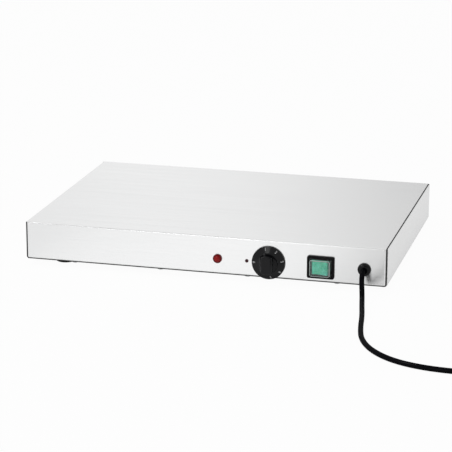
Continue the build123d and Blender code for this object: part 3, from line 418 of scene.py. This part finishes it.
def clear_cap():
    """Soft clear moulding with a slight milky skin, and a painted highlight round the edge of its face, where
    it is made less clear and so paler.
    """
    shader = Shader("clear_cap")
    skin = shader.noise(140.0, 3.0)
    shader.put(IOR=1.40, Specular_IOR_Level=0.12)
    away = shader.add("ShaderNodeSeparateXYZ")
    offset = shader.vector("SUBTRACT", shader.place, CAP_AXIS)
    shader.join(shader.vector("ABSOLUTE", offset, (0.0, 0.0, 0.0)), away.inputs[0])
    edge = shader.number(
        "MAXIMUM",
        shader.number("SUBTRACT", away.outputs["X"], CAP_HALF_W - CAP_LINE),
        shader.number("SUBTRACT", away.outputs["Z"], CAP_HALF_H - CAP_LINE),
    )
    front = shader.span(away.outputs["Y"], 0.0, 1.0, -CAP_FACE - CAP_LINE, -CAP_FACE - CAP_LINE / 2)
    # Painted highlight: a thin band round the edge of the face is made less clear, so it shows paler like a
    # gleam.
    painted_gleam = shader.number("MULTIPLY", front, shader.span(edge, 0.0, 1.0, 0.0, CAP_LINE / 2))
    clearness = shader.span(painted_gleam, CAP_CLEAR, CAP_GLEAM_CLEARNESS, 0.0, 1.0)
    shader.join(clearness, shader.surface.inputs["Transmission Weight"])
    colour = shader.ramp(skin, (0.80, 0.955, 0.91), (0.90, 0.995, 0.975))
    return shader.paint(colour, shader.span(skin, 0.03, 0.10), shader.bump(skin, 0.08, 0.0001))


def red_lens():
    """Clear red moulding of the pilot lamp, with painted light and shade in its colour: bright in the middle
    as if lit through, and dark towards the rim.
    """
    shader = Shader("red_lens")
    skin = shader.noise(300.0, 3.0)
    shader.put(Transmission_Weight=0.05, IOR=1.49, Specular_IOR_Level=0.04)
    shader.put(Coat_Weight=0.14, Coat_Roughness=0.08)
    offset = shader.vector("SUBTRACT", shader.place, LAMP_AXIS)
    away = shader.vector("LENGTH", shader.vector("MULTIPLY", offset, (1.0, 0.0, 1.0)), (0.0, 0.0, 0.0))
    # Painted light and shade: the colour is bright in the middle and dark towards the rim.
    colour = shader.mix(
        shader.span(away, 0.0, 1.0, LENS_PAINTED_LIGHT_R, LENS_PAINTED_SHADE_R),
        shader.ramp(skin, (0.32, 0.011, 0.012), (0.42, 0.018, 0.018)),
        shader.ramp(skin, (0.12, 0.002, 0.003), (0.16, 0.003, 0.004)),
    )
    return shader.paint(colour, shader.span(skin, 0.10, 0.18), shader.bump(skin, 0.05, 0.00005))


def green_rocker():
    """Translucent green moulding of the rocker, with uneven light from within its wall painted as a cloud of
    lighter and darker green.
    """
    shader = Shader("green_rocker")
    cloud = shader.noise(150.0, 2.0)
    skin = shader.noise(400.0, 3.0)
    shader.put(Subsurface_Weight=0.2, Subsurface_Scale=0.002, IOR=1.49, Specular_IOR_Level=0.3)
    shader.surface.inputs["Subsurface Radius"].default_value = (0.4, 1.0, 0.7)
    colour = shader.ramp(cloud, (0.085, 0.720, 0.455), (0.180, 0.920, 0.700), 0.38, 0.62)
    return shader.paint(colour, shader.span(skin, 0.20, 0.30), shader.bump(skin, 0.05, 0.00005))


def fibre():
    """Pressed ceramic fibre."""
    shader = Shader("ceramic_fibre")
    strands = shader.noise(1.0, 6.0, shader.stretched((90.0, 260.0, 400.0)))
    colour = shader.ramp(strands, (0.72, 0.70, 0.66), (0.90, 0.89, 0.86))
    return shader.paint(colour, shader.span(strands, 0.85, 0.97), shader.bump(strands, 0.6, 0.0006))


def mica():
    """Pressed mica with flat flakes."""
    shader = Shader("mica")
    flakes = shader.add("ShaderNodeTexVoronoi")
    flakes.inputs["Scale"].default_value = 120.0
    shader.join(shader.place, flakes.inputs["Vector"])
    colour = shader.ramp(flakes.outputs["Distance"], (0.52, 0.46, 0.32), (0.70, 0.64, 0.48), 0.0, 0.6)
    return shader.paint(colour, shader.span(flakes.outputs["Distance"], 0.3, 0.55, 0.0, 0.6))


def striped_wire():
    """Green insulation with a yellow stripe."""
    shader = Shader("earth_wire")
    bands = shader.add("ShaderNodeTexWave")
    bands.inputs["Scale"].default_value = 90.0
    shader.join(shader.place, bands.inputs["Vector"])
    colour = shader.ramp(bands.outputs["Fac"], (0.06, 0.30, 0.07), (0.72, 0.62, 0.05), 0.45, 0.55)
    return shader.paint(colour, shader.span(bands.outputs["Fac"], 0.4, 0.5))


def white_ink():
    """Printed white of the dial's numbers, slightly uneven."""
    shader = Shader("white_ink")
    wear = shader.noise(700.0, 4.0)
    colour = shader.ramp(wear, (0.62, 0.63, 0.64), (0.80, 0.80, 0.80), 0.35, 0.6)
    return shader.paint(colour, shader.span(wear, 0.5, 0.65))


LONG_GRAIN = satin_steel("satin_steel_long", 0)
DEEP_GRAIN = satin_steel("satin_steel_deep", 1)
KNOB_BLACK = glossy_black("knob_black", (0.002, 0.002, 0.003), (0.004, 0.004, 0.005), 0.45)
SWITCH_BLACK = glossy_black("switch_black", (0.006, 0.005, 0.006), (0.011, 0.010, 0.011), 0.14)
RELIEF_BLACK = glossy_black("relief_black", (0.001, 0.001, 0.002), (0.003, 0.003, 0.004), 0.4)
RUBBER = moulded(
    "black_rubber", (0.006, 0.006, 0.006), (0.012, 0.012, 0.012), 0.55, 0.75, 500.0, 0.00006, 0.4, 0.12
)
# Painted shade: the edge strip is a dark part set in the seams round the front panel and along the top edges,
# where there would only be the shade of a gap.
SHADE_GAP_BLACK = moulded("seal_black", (0.040, 0.040, 0.040), (0.058, 0.058, 0.058), 0.45, 0.60, shine=0.2)
CORD_BLACK = glossy_black("cord_black", (0.001, 0.001, 0.002), (0.003, 0.003, 0.005), 0.09, 500.0)
INDEX_RED = moulded("index_red", (0.030, 0.003, 0.006), (0.050, 0.005, 0.009), 0.22, 0.32, shine=0.2)
CREAM = moulded("cream_thermoset", (0.62, 0.57, 0.46), (0.74, 0.70, 0.60), 0.45, 0.6)
WHITE_NYLON = moulded("white_nylon", (0.72, 0.71, 0.68), (0.82, 0.81, 0.78), 0.45, 0.6)
BROWN_WIRE = moulded("brown_wire", (0.15, 0.065, 0.03), (0.20, 0.09, 0.045), 0.4, 0.5)
BLUE_WIRE = moulded("blue_wire", (0.03, 0.10, 0.34), (0.05, 0.14, 0.42), 0.4, 0.5)
ZINC = metal("zinc_plate", (0.58, 0.60, 0.64), (0.74, 0.74, 0.72), 0.26, 0.42)
GALVANISED = metal("galvanised", (0.48, 0.51, 0.54), (0.66, 0.68, 0.70), 0.35, 0.55, 200.0)
ALUMINIUM = metal("aluminium_sheet", (0.72, 0.73, 0.74), (0.84, 0.84, 0.85), 0.28, 0.40)
ALLOY = metal("resistance_ribbon", (0.34, 0.31, 0.28), (0.50, 0.47, 0.43), 0.4, 0.55)
BRASS = metal("brass", (0.66, 0.46, 0.18), (0.80, 0.60, 0.28), 0.25, 0.40)
COPPER = metal("copper", (0.64, 0.32, 0.20), (0.80, 0.45, 0.30), 0.25, 0.45)
NICKEL = metal("nickel_plate", (0.68, 0.66, 0.62), (0.80, 0.79, 0.76), 0.12, 0.22)

DRESS = {
    "hood": LONG_GRAIN,
    "base_tray": DEEP_GRAIN,
    # painted shade: the edge strip is dark to stand for the shade in the seams.
    "edge_seal": SHADE_GAP_BLACK,
    "knob": KNOB_BLACK,
    "switch_frame": SWITCH_BLACK,
    "switch_housing": SWITCH_BLACK,
    "strain_relief": RELIEF_BLACK,
    "cord_inner_end": CORD_BLACK,
    "cord_tie": RUBBER,
    "plug_body": CORD_BLACK,
    "plug_pins": NICKEL,
    "plug_earth_clips": NICKEL,
    "index_dot": INDEX_RED,
    "pilot_lamp_lens": red_lens(),
    "pilot_lamp_body": WHITE_NYLON,
    "pilot_lamp_clip": GALVANISED,
    "rocker": green_rocker(),
    "splash_cover": clear_cap(),
    "heat_spreader": ALUMINIUM,
    "thermal_cutout": ALUMINIUM,
    "mica_upper": mica(),
    "heating_ribbon": ALLOY,
    "clamp_plate": GALVANISED,
    "bulb_clips": GALVANISED,
    "insulation_blanket": fibre(),
    "thermostat_body": CREAM,
    "sensor_bulb": COPPER,
    "capillary_tube": COPPER,
    "terminal_block": WHITE_NYLON,
    "wires_brown": BROWN_WIRE,
    "wires_blue": BLUE_WIRE,
    "wires_earth": striped_wire(),
}
DRESS["mica_lower"] = DRESS["mica_upper"]
for name in nodes:
    if name.startswith("foot_") and name not in ("foot_screws", "foot_nuts"):
        DRESS[name] = RUBBER
for name in ("pilot_lamp_terminals", "switch_terminals", "thermostat_terminals", "thermostat_spindle"):
    DRESS[name] = BRASS
for name in ("terminal_screws", "earth_tag", "earth_nut"):
    DRESS[name] = BRASS
for name, node in nodes.items():
    node.data.materials.clear()
    node.data.materials.append(DRESS.get(name, ZINC))
power_cord.data.materials.clear()
power_cord.data.materials.append(CORD_BLACK)

# Dial: numbers printed round the knob's conical skirt

KNOB_AXIS = Vector((90.7, -164.0, 30.3)) * MM
SKIRT_R = 22.5 * MM
SKIRT_OUT = 2.4 * MM
CONE_R = 14.7 * MM
CONE_OUT = 5.6 * MM
INK_T = 0.06 * MM
DIGIT_MID_R = 19.4 * MM
DIGIT_H = 3.5 * MM
CAPITAL_SHARE = 0.70
ZERO_ANGLE = 180.0
FIRST_ANGLE = 101.0
DIGIT_STEP = 45.0


def on_skirt(across, outward, angle):
    """Point on the skirt's cone for a place on a number that stands at an angle round the dial."""
    radius = DIGIT_MID_R + outward
    turn = angle - across / DIGIT_MID_R
    out = SKIRT_OUT + (SKIRT_R - radius) / (SKIRT_R - CONE_R) * (CONE_OUT - SKIRT_OUT) + INK_T
    return KNOB_AXIS + Vector((radius * cos(turn), -out, radius * sin(turn)))


def dial_number(digit, angle):
    """One number as a thin mesh that lies on the cone."""
    data = bpy.data.curves.new("number", "FONT")
    data.body = str(digit)
    data.size = DIGIT_H / CAPITAL_SHARE
    data.align_x = "CENTER"
    data.align_y = "CENTER"
    data.resolution_u = 6
    holder = bpy.data.objects.new("number", data)
    bpy.context.scene.collection.objects.link(holder)
    mesh = mesh_of(holder)
    shape = bmesh.new()
    shape.from_mesh(mesh)
    bmesh.ops.subdivide_edges(shape, edges=shape.edges, cuts=1)
    bmesh.ops.triangulate(shape, faces=shape.faces)
    low = min(vertex.co.y for vertex in shape.verts)
    high = max(vertex.co.y for vertex in shape.verts)
    for vertex in shape.verts:
        across, up = vertex.co.x, vertex.co.y - (low + high) / 2
        vertex.co = on_skirt(across, up, radians(angle))
    shape.to_mesh(mesh)
    shape.free()
    piece = bpy.data.objects.new("dial_number_" + str(digit), mesh)
    bpy.context.scene.collection.objects.link(piece)
    mesh.materials.clear()
    mesh.materials.append(INK)
    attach(piece, "knob")


INK = white_ink()
dial_number(0, ZERO_ANGLE)
for digit in range(1, 6):
    dial_number(digit, FIRST_ANGLE - DIGIT_STEP * (digit - 1))

# Stage: white floor that keeps the shadow and whose glow in mirrors carries painted shade to the right, a
# plain world that is dimmer to the right, and soft lamps.
# The levels are pairs of a place or direction and the strength that a mirror shows there

FLOOR_HALF = 6.0
SEEN_GLOW = 0.96
CASE_HALF = (0.250, 0.1725)
CASE_MIDDLE = 0.0085
SHADE_START = -0.005
SHADE_FADE = 0.02
SIDE_PACE = 3.0
FLOOR_PAINTED_SHADE_LEVELS = (
    (-0.27, 0.87), (-0.22, 0.94), (-0.16, 0.975),
    (0.04, 0.985), (0.12, 0.92), (0.20, 0.75),
    (0.25, 0.72), (0.28, 0.76), (0.36, 0.78),
)
DIM_SIDE = (0.766, 0.643, 0.0)
WORLD_LEVELS = (
    (0.28, 0.84), (0.33, 0.89), (0.37, 0.96),
    (0.43, 0.875), (0.457, 0.80), (0.475, 0.73),
    (0.50, 0.635), (0.54, 0.60), (0.64, 0.62),
)
WORLD_LIGHT = 0.50
LAMP_TARGET = Vector((0.1, -0.1, 0.0))
HIGH_LEVELS = ((0.30, 1.0), (0.42, 0.95), (0.55, 0.30), (0.80, 0.30), (0.95, 0.85))
FRONT_LEVELS = ((-0.80, 1.0), (-0.55, 0.9), (-0.30, 0.1), (-0.10, 0.0))


def make_floor():
    """Large white floor that shows as white straight on and still takes shadows; in mirrors its glow carries
    painted shade, dimmer to the right and a little at the far left, and close to the case it shows its real
    shading.
    """
    mesh = bpy.data.meshes.new("floor")
    shape = bmesh.new()
    bmesh.ops.create_grid(shape, x_segments=8, y_segments=8, size=FLOOR_HALF)
    shape.to_mesh(mesh)
    shape.free()
    floor = bpy.data.objects.new("floor", mesh)
    bpy.context.scene.collection.objects.link(floor)
    shader = Shader("floor")
    shader.put(Base_Color=(0.88, 0.88, 0.88, 1), Roughness=0.9, Specular_IOR_Level=0.1)
    straight, mirrored = shader.ray_kinds()
    spot = shader.add("ShaderNodeSeparateXYZ")
    shader.join(shader.place, spot.inputs[0])
    beside = shader.number("SUBTRACT", shader.number("ABSOLUTE", spot.outputs["X"]), CASE_HALF[0])
    along = shader.number("ABSOLUTE", shader.number("SUBTRACT", spot.outputs["Y"], CASE_MIDDLE))
    before = shader.number("SUBTRACT", along, CASE_HALF[1])
    outside = shader.number("MAXIMUM", shader.number("MULTIPLY", beside, SIDE_PACE), before)
    clear = shader.span(outside, 0.0, 1.0, SHADE_START, SHADE_FADE)
    glow = shader.add("ShaderNodeEmission")
    # Painted shade: the glow seen in mirrors is dimmed by place along X, most to the right.
    shader.join(shader.mirror_level(mirrored, spot.outputs["X"], FLOOR_PAINTED_SHADE_LEVELS), glow.inputs["Strength"])
    share = shader.number(
        "MAXIMUM",
        shader.number("MULTIPLY", straight, SEEN_GLOW),
        shader.number("MULTIPLY", mirrored, clear),
    )
    shader.blend(share, shader.surface.outputs[0], glow.outputs[0], "Material Output")
    mesh.materials.append(shader.material)


def make_world():
    """White where it is seen, a soft light, and in mirrors a studio dimmer to the right and high in front."""
    world = bpy.data.worlds.new("studio")
    world.use_nodes = True
    bpy.context.scene.world = world
    nodes_of = Nodes(world.node_tree)
    plain = world.node_tree.nodes["Background"]
    plain.inputs["Color"].default_value = (1, 1, 1, 1)
    plain.inputs["Strength"].default_value = WORLD_LIGHT
    straight, mirrored = nodes_of.ray_kinds()
    way = nodes_of.add("ShaderNodeTexCoord").outputs["Generated"]
    side = nodes_of.vector("DOT_PRODUCT", way, DIM_SIDE)
    seen = nodes_of.add("ShaderNodeBackground")
    seen.inputs["Color"].default_value = (1, 1, 1, 1)
    axes = nodes_of.add("ShaderNodeSeparateXYZ")
    nodes_of.join(way, axes.inputs[0])
    dark = nodes_of.number("SUBTRACT", 1.0, nodes_of.levels(axes.outputs["Z"], HIGH_LEVELS))
    ceiling = nodes_of.number("MULTIPLY", dark, nodes_of.levels(axes.outputs["Y"], FRONT_LEVELS))
    clear = nodes_of.number("SUBTRACT", 1.0, nodes_of.number("MULTIPLY", ceiling, mirrored))
    level = nodes_of.mirror_level(mirrored, side, WORLD_LEVELS)
    nodes_of.join(nodes_of.number("MULTIPLY", level, clear), seen.inputs["Strength"])
    share = nodes_of.number("MAXIMUM", straight, mirrored)
    nodes_of.blend(share, plain.outputs[0], seen.outputs[0], "World Output")


def lamp(name, place, width, height, power):
    """Soft lamp that points at the case."""
    data = bpy.data.lights.new(name, "AREA")
    data.shape = "RECTANGLE"
    data.size = width
    data.size_y = height
    data.energy = power
    holder = bpy.data.objects.new(name, data)
    bpy.context.scene.collection.objects.link(holder)
    holder.location = place
    aim = LAMP_TARGET - Vector(place)
    holder.rotation_euler = aim.to_track_quat("-Z", "Y").to_euler()


make_floor()
make_world()
lamp("key_lamp", (-1.6, -1.2, 2.2), 0.6, 0.6, 14)
lamp("front_lamp", (-0.62, -2.55, 1.36), 0.7, 0.5, 4)

bpy.context.scene.view_settings.view_transform = "Standard"
